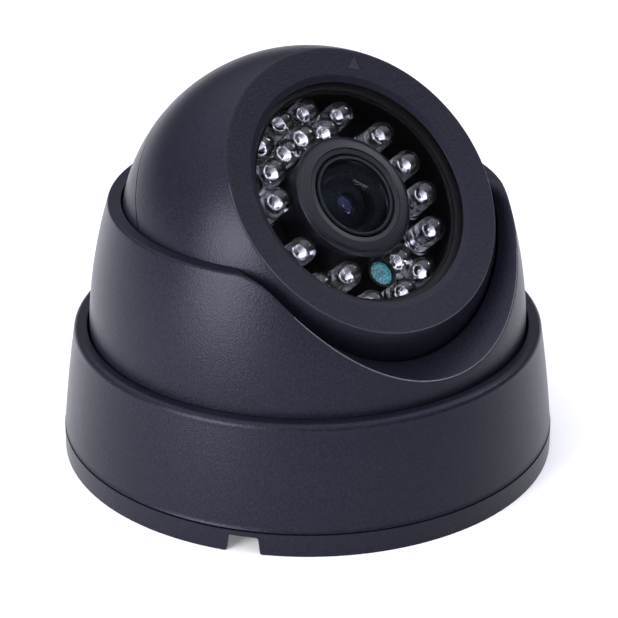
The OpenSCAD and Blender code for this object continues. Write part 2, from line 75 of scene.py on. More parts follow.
# ball and bezel; a name that ends in _T is a distance along the optical axis from the ball's centre,
# forwards but for SEAM_T, and SEAM_PLAY is half the gap between the two shells
BALL_R = 35.0
BALL_WALL = 1.9
BALL_GAP = 0.35
SEAM_T = 0.8
SEAM_PLAY = 0.1
FACE_T = 21.2
FACE_R = math.sqrt(BALL_R ** 2 - FACE_T ** 2)
VIEW_R = 21.6
LIP_R = 22.75
LIP_DROP = 0.65
LIP_H = 0.25
REST_ROLL = math.radians(26)

# view opening; the window's faces lie along the optical axis too
WINDOW_R = 23.0
WINDOW_BACK = 18.5
WINDOW_FRONT = 19.9
BOARD_T = 8.4
ON_BOARD = BOARD_T + 0.02
LAMPS = 21
LAMP_R = 2.45

# OPTICAL has the ball's centre as its origin, Z along the optical axis and X level.
# EYEBALL is OPTICAL turned until Y points to the picture's top.
JOINTS = {j["name"]: j for j in frame["joints"]}
BALL = Vector(JOINTS["eyeball_roll"]["pos_m"])
AXIS = Vector(JOINTS["eyeball_roll"]["axis"]).normalized()
SIDE = Vector((1, 0, 0))
UP = AXIS.cross(SIDE).normalized()
OPTICAL = Matrix.Translation(BALL) @ Matrix((SIDE, UP, AXIS)).transposed().to_4x4()
EYEBALL = OPTICAL @ Matrix.Rotation(-REST_ROLL, 4, "Z")


# ---- mesh helpers ----

def collar_r(z):
    """Radius of the collar's crowned outside at height z."""
    h = z - FOOT_Z
    return COLLAR_FOOT_R - COLLAR_LEAN * h - COLLAR_CROWN * h * h


def cover_r(z):
    """Radius of the cover's crowned outside at height z."""
    return PLATE_R + COVER_SPREAD - COVER_LEAN * z - COVER_CROWN * z * z


def arc(cx, cy, r, a, b, n):
    """Points of an arc about (cx, cy) from angle a to b, in degrees."""
    turns = [math.radians(a + (b - a) * i / n) for i in range(n + 1)]
    return [(cx + r * math.cos(t), cy + r * math.sin(t)) for t in turns]


def rounded(points, radii, closed=True, n=5):
    """A polyline with its corners rounded: radii holds one radius for each point, 0 for a plain corner."""
    out = []
    count = len(points)
    for i, (p, r) in enumerate(zip(points, radii)):
        p = Vector(p)
        if r <= 0 or (not closed and i in (0, count - 1)):
            out.append(tuple(p))
            continue
        a = Vector(points[i - 1]) - p
        b = Vector(points[(i + 1) % count]) - p
        half = a.angle(b) / 2
        if half > math.radians(89):
            out.append(tuple(p))
            continue
        trim = min(r / math.tan(half), a.length * 0.49, b.length * 0.49)
        r = trim * math.tan(half)
        a.normalize()
        b.normalize()
        centre = p + (a + b).normalized() * (r / math.sin(half))
        start = p + a * trim - centre
        end = p + b * trim - centre
        for k in range(n + 1):
            d = start.lerp(end, k / n)
            out.append(tuple(centre + d.normalized() * r))
    return out


def make(name, verts, faces, place=None, smooth=True):
    """An object from points in mm in the frame of place, doubled points joined, faces turned outwards."""
    mesh = bpy.data.meshes.new(name)
    scale = Matrix.Scale(MM, 4)
    place = place or Matrix.Identity(4)
    mesh.from_pydata([place @ (scale @ Vector(v)) for v in verts], [], faces)
    mesh.update()
    bm = bmesh.new()
    bm.from_mesh(mesh)
    bmesh.ops.remove_doubles(bm, verts=bm.verts, dist=1e-7)
    bmesh.ops.recalc_face_normals(bm, faces=bm.faces)
    bm.to_mesh(mesh)
    bm.free()
    for p in mesh.polygons:
        p.use_smooth = smooth
    obj = bpy.data.objects.new(name, mesh)
    bpy.context.scene.collection.objects.link(obj)
    return obj


def grid_faces(rows, cols, closed=True):
    """Faces of rows of points that go round in a ring; closed joins each row's last point to its first."""
    faces = []
    for i in range(rows):
        for j in range(cols if closed else cols - 1):
            a, b = i * cols, (i + 1) % rows * cols
            k = (j + 1) % cols
            faces.append((a + j, b + j, b + k, a + k))
    return faces


def revolve(name, profile, place=None, steps=192, closed=True):
    """Turns (r, z) points about the Z axis of place. An open profile has both its ends on the axis."""
    turns = [2 * math.pi * i / steps for i in range(steps)]
    verts = [(r * math.cos(a), r * math.sin(a), z) for a in turns for r, z in profile]
    return make(name, verts, grid_faces(steps, len(profile), closed), place)


def join(name, parts, place):
    """Joins meshes made about the origin into one object at place."""
    bm = bmesh.new()
    for part in parts:
        bm.from_mesh(part.data)
        bpy.data.objects.remove(part)
    bm.transform(place)
    mesh = bpy.data.meshes.new(name)
    bm.to_mesh(mesh)
    bm.free()
    obj = bpy.data.objects.new(name, mesh)
    bpy.context.scene.collection.objects.link(obj)
    return obj


def local_box(node, place):
    """Lowest and highest corner of a CAD node in the frame of place, in mm."""
    inverse = place.inverted()
    points = [inverse @ v.co for v in frame["nodes"][node].data.vertices]
    low = [min(p[i] for p in points) / MM for i in range(3)]
    high = [max(p[i] for p in points) / MM for i in range(3)]
    return low, high


def settle(obj, body, slot, material, *nodes):
    """Gives a piece its material, body and the CAD nodes that it stands for; slot is not used."""
    obj.data.materials.clear()
    obj.data.materials.append(material)
    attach(obj, body)
    if nodes:
        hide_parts(*nodes)
    return obj


def finish_faces(obj, material, place, where):
    """Gives another material to the faces whose centre, in mm in the frame of place, passes the test."""
    obj.data.materials.append(material)
    slot = len(obj.data.materials) - 1
    inverse = place.inverted()
    for face in obj.data.polygons:
        if where((inverse @ face.center) / MM):
            face.material_index = slot


# ---- materials ----

def new_material(name, colour, roughness, **values):
    """A material with its nodes, links and shader; values are more of the shader's sockets."""
    mat = bpy.data.materials.new(name)
    mat.use_nodes = True
    shader = mat.node_tree.nodes["Principled BSDF"]
    shader.inputs["Base Color"].default_value = (*colour, 1)
    shader.inputs["Roughness"].default_value = roughness
    for key, value in values.items():
        shader.inputs[key.replace("_", " ")].default_value = value
    return mat, mat.node_tree.nodes, mat.node_tree.links, shader


def grain(nodes, links, shader, size, height, strength, colour=None, spread=0.0, rough=None):
    """A procedural grain of that size in metres: bump, and a slight drift of colour and roughness."""
    coords = nodes.new("ShaderNodeTexCoord")
    fine = nodes.new("ShaderNodeTexNoise")
    fine.inputs["Scale"].default_value = 1 / size
    fine.inputs["Detail"].default_value = 3
    fine.inputs["Roughness"].default_value = 0.6
    links.new(coords.outputs["Object"], fine.inputs["Vector"])
    contrast = nodes.new("ShaderNodeMapRange")
    contrast.inputs["From Min"].default_value = 0.3
    contrast.inputs["From Max"].default_value = 0.7
    links.new(fine.outputs["Fac"], contrast.inputs["Value"])
    bump = nodes.new("ShaderNodeBump")
    bump.inputs["Distance"].default_value = height
    bump.inputs["Strength"].default_value = strength
    links.new(contrast.outputs["Result"], bump.inputs["Height"])
    links.new(bump.outputs["Normal"], shader.inputs["Normal"])
    if colour:
        # a Mix node keeps its colours in sockets 6 and 7, and its mixed colour in output 2
        mix = nodes.new("ShaderNodeMix")
        mix.data_type = "RGBA"
        mix.inputs[6].default_value = (*[c * (1 - spread) for c in colour], 1)
        mix.inputs[7].default_value = (*[c * (1 + spread) for c in colour], 1)
        links.new(contrast.outputs["Result"], mix.inputs[0])
        links.new(mix.outputs[2], shader.inputs["Base Color"])
    if rough:
        drift = nodes.new("ShaderNodeTexNoise")
        drift.inputs["Scale"].default_value = 90
        drift.inputs["Detail"].default_value = 4
        links.new(coords.outputs["Object"], drift.inputs["Vector"])
        span = nodes.new("ShaderNodeMapRange")
        span.inputs["To Min"].default_value = rough[0]
        span.inputs["To Max"].default_value = rough[1]
        links.new(drift.outputs["Fac"], span.inputs["Value"])
        links.new(span.outputs["Result"], shader.inputs["Roughness"])


def shell_plastic(name, size, height, rough):
    """Charcoal ABS with a fine spark-eroded texture and a dim, slightly blue sheen."""
    colour = (0.0084, 0.0085, 0.0145)
    mat, nodes, links, shader = new_material(name, colour, 0.4)
    shader.inputs["Specular IOR Level"].default_value = 0.17
    shader.inputs["Specular Tint"].default_value = (0.8, 0.8, 1, 1)
    grain(nodes, links, shader, size, height, 0.7, colour, 0.45, rough)
    return mat


def plain_plastic(name, colour, roughness, size=0.0002, height=0.00002, specular=0.25):
    """Moulded plastic or rubber with a faint grain."""
    mat, nodes, links, shader = new_material(name, colour, roughness)
    shader.inputs["Specular IOR Level"].default_value = specular
    grain(nodes, links, shader, size, height, 0.4, colour, 0.1, (roughness - 0.05, roughness + 0.06))
    return mat


def metal(name, colour, roughness):
    """Metal with a slight drift of colour and gloss."""
    mat, nodes, links, shader = new_material(name, colour, roughness, Metallic=1.0)
    grain(nodes, links, shader, 0.0003, 0.00001, 0.3, colour, 0.06, (roughness - 0.05, roughness + 0.08))
    return mat


def clear_epoxy():
    """The lamps' clear resin, whose skin is a little uneven."""
    mat, nodes, links, shader = new_material("lamp_epoxy", (0.8, 0.81, 0.85), 0.0, IOR=1.5)
    shader.inputs["Transmission Weight"].default_value = 1.0
    grain(nodes, links, shader, 0.0012, 0.00014, 0.4)
    return mat


def window_glass():
    """Thin clear glass that only mirrors at a grazing angle."""
    mat = bpy.data.materials.new("window_glass")
    mat.use_nodes = True
    nodes, links = mat.node_tree.nodes, mat.node_tree.links
    nodes.remove(nodes["Principled BSDF"])
    clear = nodes.new("ShaderNodeBsdfTransparent")
    clear.inputs["Color"].default_value = (0.98, 0.985, 0.99, 1)
    gloss = nodes.new("ShaderNodeBsdfGlossy")
    gloss.inputs["Roughness"].default_value = 0.02
    edge = nodes.new("ShaderNodeFresnel")
    edge.inputs["IOR"].default_value = 1.05
    mix = nodes.new("ShaderNodeMixShader")
    links.new(edge.outputs["Fac"], mix.inputs["Fac"])
    links.new(clear.outputs["BSDF"], mix.inputs[1])
    links.new(gloss.outputs["BSDF"], mix.inputs[2])
    links.new(mix.outputs["Shader"], nodes["Material Output"].inputs["Surface"])
    return mat


def coated_glass(name, tint, sheen, index=1.55):
    """Lens glass. A low index stands for a coating, which lets little light reflect."""
    mat, nodes, links, shader = new_material(name, tint, 0.02, IOR=index)
    shader.inputs["Transmission Weight"].default_value = 1.0
    shader.inputs["Specular IOR Level"].default_value = 0.1
    shader.inputs["Specular Tint"].default_value = (*sheen, 1)
    grain(nodes, links, shader, 0.004, 0.00002, 0.1)
    return mat


def photocell_face():
    """Teal light cell, with the speckle of its grains."""
    mat, nodes, links, shader = new_material("photocell_face", (0.1, 0.45, 0.5), 0.35)
    coords = nodes.new("ShaderNodeTexCoord")
    cells = nodes.new("ShaderNodeTexVoronoi")
    cells.inputs["Scale"].default_value = 2600
    ramp = nodes.new("ShaderNodeValToRGB")
    ramp.color_ramp.elements[0].color = (0.13, 0.55, 0.62, 1)
    ramp.color_ramp.elements[1].color = (0.008, 0.09, 0.12, 1)
    ramp.color_ramp.elements[1].position = 0.62
    links.new(coords.outputs["Object"], cells.inputs["Vector"])
    links.new(cells.outputs["Distance"], ramp.inputs["Fac"])
    links.new(ramp.outputs["Color"], shader.inputs["Base Color"])
    bump = nodes.new("ShaderNodeBump")
    bump.inputs["Distance"].default_value = 0.00005
    links.new(cells.outputs["Distance"], bump.inputs["Height"])
    links.new(bump.outputs["Normal"], shader.inputs["Normal"])
    return mat


SHELL = shell_plastic("shell_plastic", 0.00036, 0.000032, (0.27, 0.33))
BEZEL = shell_plastic("bezel_plastic", 0.0005, 0.00007, (0.4, 0.5))
BLACK = plain_plastic("black_plastic", (0.003, 0.003, 0.004), 0.42, specular=0.09)
# the edge bands: a glossier finish, and a lighter colour that is a painted highlight along the edges' bright
# lines
GLOSS_EDGE_PAINTED_HIGHLIGHT = plain_plastic("glossy_edge_painted_highlight", (0.017, 0.017, 0.023), 0.27, specular=0.8)
MARK = plain_plastic("mark_plastic", (0.0165, 0.0165, 0.024), 0.34, specular=0.22)
RING = plain_plastic("shroud_rubber", (0.0072, 0.007, 0.0125), 0.34, 0.0003, 0.00002, 0.24)
RUBBER = plain_plastic("black_rubber", (0.012, 0.012, 0.013), 0.65)
STEEL = metal("steel", (0.55, 0.55, 0.57), 0.3)
DARK_STEEL = metal("blackened_steel", (0.06, 0.06, 0.065), 0.35)
CUP = metal("lamp_frame", (0.93, 0.93, 0.95), 0.12)
DIE = plain_plastic("lamp_die", (0.03, 0.03, 0.04), 0.2)
BRASS = metal("standoff_brass", (0.72, 0.52, 0.22), 0.3)
EPOXY = clear_epoxy()
GLASS = window_glass()
LENS = coated_glass("lens_glass", (0.62, 0.72, 0.78), (0.6, 0.75, 1.0), 1.11)
INNER_LENS = coated_glass("inner_lens_glass", (0.75, 0.7, 1.0), (0.9, 0.6, 0.9), 1.13)
CELL_LENS = coated_glass("cell_lens_glass", (0.8, 0.7, 1.0), (0.8, 0.6, 1.0), 1.42)
FILTER = coated_glass("filter_glass", (0.9, 0.35, 0.35), (1, 0.6, 0.6))
BOARD = plain_plastic("circuit_board", (0.003, 0.0035, 0.004), 0.5, 0.0008, specular=0.1)
CHIP = plain_plastic("chip", (0.02, 0.02, 0.022), 0.35)
CONNECTOR = plain_plastic("connector_plastic", (0.7, 0.67, 0.58), 0.45)
CELL = photocell_face()


# ---- base and cover ----

def base_cover():
    """The cover as one ring, with softened edges and room under its lip for the collar's flange."""
    soft = 0.25
    foot = PLATE_H + PARTING
    foot_bore = 44.8
    room_r, room_foot, room_top = 43.65, 14, 17.8
    foot_r = cover_r(foot) - soft
    low = foot + soft
    side_top = COVER_TOP - COVER_EDGE
    heights = [low + (side_top - low) * i / 24 for i in range(25)]
    profile = [(foot_bore, foot), (foot_r, foot)] + arc(foot_r, low, soft, -80, -5, 4)
    profile += [(cover_r(z), z) for z in heights]
    profile += arc(cover_r(side_top) - COVER_EDGE, side_top, COVER_EDGE, 9, 90, 10)
    profile += arc(COVER_BORE + soft, COVER_TOP - soft, soft, 90, 180, 5)
    profile += [(COVER_BORE, room_top), (room_r, room_top), (room_r, room_foot)]
    ring = revolve("base_cover_ring", profile, steps=360)
    settle(ring, "cover", "shell_plastic", SHELL, "base_cover")


# ---- collar ----

def scoop_height(x, y):
    """Height of the collar's top surface: the rim, cut by the scoop whose shelf rises inwards."""
    crest = RIM_Z - SHOULDER_DROP
    centre_z = SCOOP_Z + SCOOP_R
    drop = centre_z - crest + SHOULDER_R
    side = math.sqrt((SCOOP_R + SHOULDER_R) ** 2 - drop ** 2)
    join_x = side * SCOOP_R / (SCOOP_R + SHOULDER_R)
    ax = abs(x)
    if y > 0:
        return RIM_Z
    if ax <= join_x:
        z = centre_z - math.sqrt(SCOOP_R ** 2 - ax * ax)
    elif ax < side:
        z = crest - SHOULDER_R + math.sqrt(SHOULDER_R ** 2 - (side - ax) ** 2)
    else:
        z = crest
    stretch = math.cos(SCOOP_RISE) + math.sin(SCOOP_RISE) * math.tan(SCOOP_RISE)
    lift = math.tan(SCOOP_RISE) * (y + collar_r(SCOOP_Z))
    return min(RIM_Z, SCOOP_Z + (z - SCOOP_Z) * stretch + lift)


def solve(f, low, high):
    """Where the rising function f crosses zero between low and high."""
    for _ in range(40):
        mid = (low + high) / 2
        if f(mid) > 0:
            high = mid
        else:
            low = mid
    return (low + high) / 2


def collar_profile(a):
    """The collar's section at angle a from the front, outside first, and the middle of its rounded edge."""
    sx, sy = math.sin(a), -math.cos(a)

    def top(r):
        return scoop_height(r * sx, r * sy)

    # the top surface runs from the edge, at the outside, to the mouth, which clears the ball by a gap
    ball_z = BALL.z / MM
    near = BALL_R + BALL_GAP
    z_edge = solve(lambda z: z - top(collar_r(z)), FOOT_Z, RIM_Z)
    r_edge = collar_r(z_edge)
    r_mouth = solve(lambda r: r * r + (top(r) - ball_z) ** 2 - near ** 2, 28.0, r_edge)

    edge_radius, edge_room = 0.45, 0.95
    wall_top = z_edge - edge_room
    shelf_r = r_edge - edge_room
    wall = [(collar_r(z), z) for z in (FOOT_Z + (wall_top - FOOT_Z) * i / 21 for i in range(22))]
    shelf = [(r, top(r)) for r in (shelf_r + (r_mouth - shelf_r) * i / 9 for i in range(10))]
    edge_line = [wall[-1], (r_edge, z_edge), shelf[0]]
    edge = rounded(edge_line, [0, edge_radius, 0], closed=False, n=6)[1:-1]

    mouth_radius = 0.25
    z_mouth = shelf[-1][1]
    z_low = max(z_mouth - COLLAR_WALL, 27.0)
    drops = [z_mouth + (z_low - z_mouth) * i / 4 for i in range(1, 5)]
    inner = [(math.sqrt(max(near ** 2 - (z - ball_z) ** 2, 1)), z) for z in drops]
    mouth_line = [shelf[-2], shelf[-1], inner[0]]
    mouth = rounded(mouth_line, [0, mouth_radius, 0], closed=False, n=4)[1:-1]

    # under the mouth the wall steps back to the bore, which runs down to the flange
    bore_r, bore_top, neck_top = COLLAR_FOOT_R - COLLAR_WALL, 38, 21
    step_r = max(bore_r - 3.2, inner[-1][0] + 0.2)
    bore = [(step_r, z_low - 0.3), (bore_r, min(z_low - 3, bore_top)), (bore_r, FLANGE_FOOT)]
    flange = [(FLANGE_R, FLANGE_FOOT), (FLANGE_R, FLANGE_TOP)]
    neck = [(COLLAR_FOOT_R, FLANGE_TOP), (COLLAR_FOOT_R, neck_top)]
    profile = wall + edge + shelf[:-1] + mouth + inner + bore + flange + neck
    return profile, edge[len(edge) // 2]


def turret_collar():
    """The collar, with a glossier band along the scoop's edge, lighter in colour as a painted highlight, that
    narrows at the front and near the rim.
    """
    steps = 720
    verts, crests = [], []
    for i in range(steps):
        a = 2 * math.pi * i / steps
        profile, crest = collar_profile(a)
        crests.append(crest)
        verts += [(r * math.sin(a), -r * math.cos(a), z) for r, z in profile]
    obj = make("turret_collar_shell", verts, grid_faces(steps, len(profile)))
    settle(obj, "turret", "shell_plastic", SHELL, "turret_collar")
    # the edge band's lighter colour is a painted highlight, shaped to where the edge's bright line falls
    half_band, front_share, widens_over = 0.2, 0.6, 4
    gone_z, narrows_over = 46, 5

    def on_highlight_band(centre):
        turn = math.atan2(centre.x, -centre.y) / (2 * math.pi)
        r_edge, z_edge = crests[int(turn * steps) % steps]
        rising = front_share + (z_edge - SCOOP_Z) / widens_over
        falling = (gone_z - z_edge) / narrows_over
        reach = half_band * max(0, min(1, rising, falling))
        return math.hypot(math.hypot(centre.x, centre.y) - r_edge, centre.z - z_edge) < reach

    finish_faces(obj, GLOSS_EDGE_PAINTED_HIGHLIGHT, Matrix.Identity(4), on_highlight_band)


# ---- ball ----

def sphere_arc(radius, t_from, t_to, n):
    """(r, t) points on a sphere between two planes across the axis."""
    a, b = math.asin(t_from / radius), math.asin(t_to / radius)
    turns = [a + (b - a) * i / n for i in range(n + 1)]
    return [(radius * math.cos(turn), radius * math.sin(turn)) for turn in turns]


def ball_front_shell():
    """Front half of the ball with the bezel, which is dished towards the view opening."""
    seam = SEAM_PLAY - SEAM_T
    lip_t = FACE_T - LIP_DROP
    edge_soft, lip_soft, lip_foot_soft, seam_soft = 0.45, 0.35, 0.12, 0.18
    edge_room = 0.25
    outer = sphere_arc(BALL_R, seam + edge_room, FACE_T - edge_room, 60)
    edge_line = [outer[-2], (FACE_R, FACE_T), (LIP_R, lip_t)]
    edge = rounded(edge_line, [0, edge_soft, 0], closed=False, n=8)[1:-1]
    crest = edge[len(edge) // 2]
    dish = [(FACE_R + (LIP_R - FACE_R) * i / 8, FACE_T - LIP_DROP * i / 8) for i in range(1, 8)]
    sill = [(VIEW_R, WINDOW_FRONT + LIP_H), (VIEW_R, WINDOW_FRONT), (WINDOW_R, WINDOW_FRONT)]
    lip_line = [dish[-1], (LIP_R, lip_t), *sill]
    lip = rounded(lip_line, [0, lip_soft, lip_foot_soft, 0, 0], closed=False, n=6)[1:-1]

    # the window's seat, then the tube that holds the retainer, then the ball's inside
    seat_r, seat_back = 23.15, 18.3
    tube_r, tube_foot = 23.5, 12
    tube_outer_r, tube_root = 25, 17.6
    inner_top = 17.2
    well = [(seat_r, WINDOW_FRONT), (seat_r, seat_back), (tube_r, seat_back), (tube_r, tube_foot)]
    well += [(tube_outer_r, tube_foot), (tube_outer_r, tube_root)]
    inner = sphere_arc(BALL_R - BALL_WALL, inner_top, seam, 24)
    seam_line = [inner[-1], (BALL_R - 0.02, seam), outer[0]]
    seam_edge = rounded(seam_line, [0, seam_soft, 0], closed=False, n=4)[1:-1]
    obj = revolve("ball_front", outer + edge + dish + lip + well + inner + seam_edge, OPTICAL, steps=360)
    settle(obj, "eyeball", "shell_plastic", SHELL, "ball_front_shell")
    bezel_from, bezel_to = LIP_R + 0.3, FACE_R - 0.4
    half_band = 0.14

    def on_bezel(centre):
        return centre.z > WINDOW_FRONT - 0.1 and bezel_from < math.hypot(centre.x, centre.y) < bezel_to

    def on_highlight_band(centre):
        """Whether a face is in the band of painted highlight, a glossier and lighter finish, on the bezel's
        outer edge, which is widest at its foot.
        """
        r = math.hypot(centre.x, centre.y)
        reach = half_band * max(0, min(1, 0.5 - 0.9 * centre.y / r))
        return math.hypot(r - crest[0], centre.z - crest[1]) < reach

    finish_faces(obj, BEZEL, OPTICAL, on_bezel)
    finish_faces(obj, GLOSS_EDGE_PAINTED_HIGHLIGHT, OPTICAL, on_highlight_band)


def up_mark():
    """The small raised triangle on the bezel that shows which way up the picture is."""
    apex, foot, half = 26.7, 24.3, 1.25
    buried, skirt, height = -0.3, 0.05, 0.2
    inset = 0.12
    side_inset = 1.7 * inset

    def bezel(y):
        return FACE_T - LIP_DROP * (FACE_R - y) / (FACE_R - LIP_R)

    base = [(-half, foot), (half, foot), (0, apex)]
    crown = [(side_inset - half, foot + inset), (half - side_inset, foot + inset), (0, apex - 2 * inset)]
    verts = [(x, y, bezel(y) + buried) for x, y in base] + [(x, y, bezel(y) + skirt) for x, y in base]
    verts += [(x, y, bezel(y) + height) for x, y in crown]
    faces = [(2, 1, 0)] + [(i, (i + 1) % 3, 3 + (i + 1) % 3, 3 + i) for i in range(3)]
    faces += [(3 + i, 3 + (i + 1) % 3, 6 + (i + 1) % 3, 6 + i) for i in range(3)] + [(6, 7, 8)]
    obj = make("up_mark", verts, faces, EYEBALL, smooth=False)
    settle(obj, "eyeball", "shell_plastic", MARK)


# ---- view opening ----

def front_window():
    """Clear disc with eased rims, a hair behind the bezel's sill."""
    front = WINDOW_FRONT - 0.03
    corners = [(0, WINDOW_BACK), (WINDOW_R, WINDOW_BACK), (WINDOW_R, front), (0, front)]
    profile = rounded(corners, [0, 0.15, 0.15, 0], closed=False)
    obj = revolve("window_disc", profile, OPTICAL, steps=128, closed=False)
    settle(obj, "eyeball", "window_glass", GLASS, "front_window")


def window_retainer():
    """Tube that presses the window home, its bore stepped against stray light."""
    outer_r = 23.3
    top = WINDOW_BACK - 0.42
    bore = [(22.5, ON_BOARD), (22.5, 11.5), (22.25, 11.7), (22.25, 14.2), (21.9, 14.4), (21.9, 16.6)]
    mouth = [(20.5, 17.2), (20.2, 17.5), (20.2, top - 0.1), (20.3, top)]
    profile = [(outer_r, ON_BOARD), *bore, *mouth, (outer_r, top)]
    obj = revolve("retainer_tube", profile, OPTICAL, steps=192)
    settle(obj, "eyeball", "black_plastic", BLACK, "window_retainer")


def lens_shroud():
    """Rubber collar around the lens, its face sloping gently outwards to a rim with a glossier band, lighter
    in colour as a painted highlight.
    """
    bore_r, stem_r, head_r = 8.2, 11.2, 11.8
    highlight_from = 17.25
    points = [(bore_r, ON_BOARD), (stem_r, ON_BOARD), (stem_r, 15.8), (head_r, 15.8), (head_r, 17.4)]
    points += [(11.3, 17.85), (10.8, 18.08), (9.3, 18.29), (9.15, 18.05), (8.35, 18), (bore_r, 17.85)]
    profile = rounded(points, [0.1, 0.1, 0.1, 0.15, 0.12, 0.3, 0.3, 0.1, 0.08, 0.1, 0.08], n=4)
    obj = revolve("shroud_ring", profile, OPTICAL, steps=192)
    settle(obj, "eyeball", "black_rubber", RING, "lens_shroud")

    # the rim's band takes the lighter, glossier edge finish: a painted highlight
    def on_highlight_rim(centre):
        return centre.z > highlight_from and math.hypot(centre.x, centre.y) > head_r - 0.2

    finish_faces(obj, GLOSS_EDGE_PAINTED_HIGHLIGHT, OPTICAL, on_highlight_rim)


def sphere_cap(r_edge, radius, vertex, n):
    """(r, t) points of a cap from its vertex on the axis out to r_edge; a negative radius hollows it."""
    span = math.asin(r_edge / abs(radius))
    turns = [span * i / n for i in range(n + 1)]
    return [(abs(radius) * math.sin(a), vertex - radius * (1 - math.cos(a))) for a in turns]


def lens_glass(name, radii, vertices, edges, r_edge, material):
    """A lens from its front and back faces: their radii, vertices and clear radii, front first."""
    front = sphere_cap(edges[0], radii[0], vertices[0], 24)
    back = sphere_cap(edges[1], radii[1], vertices[1], 16)[::-1]
    rim = [(r_edge, front[-1][1]), (r_edge, back[0][1])]
    rim = [point for point in rim if point not in (front[-1], back[0])]
    obj = revolve(name, front + rim + back, OPTICAL, steps=128, closed=False)
    settle(obj, "lens", "lens_glass", material)
    return obj


def lens_tube():
    """Barrel of the lens, and the retaining ring in front of its glass."""
    outside = [(4.2, -1.5), (6, -1.5), (6, 9.5), (7.9, 9.5), (7.9, 18), (7.62, 18), (7.62, 17.1)]
    bore = [(7.55, 17.1), (7.55, 15.4), (5.6, 15.4), (5.2, 14.2), (5.2, 13.6), (4, 12.4), (4, 2), (4.2, 2)]
    radii = [0, 0, 0, 0.1, 0.1, 0.06, 0] + [0] * len(bore)
    tube = revolve("barrel_tube", rounded(outside + bore, radii, n=3), OPTICAL, steps=160)
    settle(tube, "lens", "black_plastic", BLACK, "lens_barrel")
    section = [(7.25, 17.12), (7.61, 17.12), (7.61, 17.99), (7.35, 17.99), (7.25, 17.9)]
    ring = revolve("front_ring", rounded(section, [0, 0, 0.05, 0.04, 0.04], n=3), OPTICAL, steps=160)
    settle(ring, "lens", "black_plastic", RING, "lens_ring")


def lens_elements():
    """The domed front glass, the cell behind it with its own dome, the inner glass and the stop."""
    front = lens_glass("lens_dome", (21, 6.8), (18.2, 16.8), (7.54, 4.12), 7.54, LENS)
    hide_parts("front_lens")
    cell = [(2.2, 13.6), (4.9, 13.3), (4.9, 13.6), (2.6, 14.3), (2.2, 14.4)]
    ring = revolve("cell_ring", rounded(cell, [0.05, 0.05, 0.1, 0.1, 0.05], n=3), OPTICAL, steps=128)
    settle(ring, "lens", "black_plastic", BLACK)
    lens_glass("cell_dome", (3, -6), (14.5, 13.1), (2.12, 2.0), 2.19, CELL_LENS)
    lens_glass("inner_dome", (5.5, -9), (11.6, 8.9), (3.8, 3.2), 3.9, INNER_LENS)
    section = rounded([(1.5, 6.1), (3.95, 6.1), (3.95, 6.9), (2.2, 6.5)], [0.05] * 4, n=3)
    stop = revolve("aperture_stop", section, OPTICAL, steps=96)
    settle(stop, "lens", "black_plastic", BLACK)


# ---- lamps ----

def across(x_from, x_to, half):
    """A rectangle that lies across the X axis, as x0, y0, x1, y1."""
    return x_from, -half, x_to, half


def bar(low, high, z_low, z_high):
    """An upright bar with bevelled edges that tapers from one rectangle to another, each x0, y0, x1, y1."""
    rings = []
    for (x0, y0, x1, y1), z in ((low, z_low), (high, z_high)):
        cut = 0.15 * min(x1 - x0, y1 - y0)
        corners = [(x0, y0), (x1, y0), (x1, y1), (x0, y1)]
        rings.append([(x, y, z) for x, y in rounded(corners, [cut] * 4, n=1)])
    verts = rings[0] + rings[1]
    n = len(rings[0])
    sides = [(i, (i + 1) % n, n + (i + 1) % n, n + i) for i in range(n)]
    return make("bar", verts, sides + [tuple(range(n))[::-1], tuple(range(n, 2 * n))], smooth=False)


def lead_frame(name, place, foot, tip):
    """A lamp's two legs: one ends in the reflector cup, the other in a small anvil with the bond wire."""
    leg_foot = foot + 0.3
    rim = tip - 3.05
    cup_r, cup_foot, neck = 0.95, rim - 0.5, rim - 1.5
    cup = [(cup_r, rim - 0.12), (0.9, rim), (0.76, rim), (0.42, cup_foot), (0, cup_foot)]
    head = cup[::-1] + [(cup_r, rim - 1.1), (0.35, neck), (0, neck)]
    leg_half, anvil_half, anvil_foot = 0.25, 0.2, rim - 1.6
    post = (1.2, 1.7)
    leg = across(*post, leg_half)
    parts = [revolve("head", head, None, 40, False)]
    parts.append(bar(across(-0.3, 0.3, leg_half), across(-0.4, 0.4, leg_half), leg_foot, rim - 1.2))
    parts.append(bar(leg, leg, leg_foot, anvil_foot))
    parts.append(bar(across(*post, anvil_half), across(1.25, 1.65, 0.16), anvil_foot, rim - 0.1))
    wire = [(1.3, rim - 0.05), (1.1, rim + 0.3), (0.7, rim + 0.42), (0.3, rim + 0.2), (0.02, rim - 0.25)]
    wire_half = 0.04
    for (xa, za), (xb, zb) in zip(wire, wire[1:]):
        low = across(xa - wire_half, xa + wire_half, wire_half)
        high = across(xb - wire_half, xb + wire_half, wire_half)
        parts.append(bar(low, high, za, zb))
    settle(join(name, parts, place), "eyeball", "steel", CUP)
    chip = across(-0.17, 0.17, 0.17)
    die = join(name.replace("frame", "die"), [bar(chip, chip, rim - 0.49, rim - 0.3)], place)
    settle(die, "eyeball", "chip", DIE)


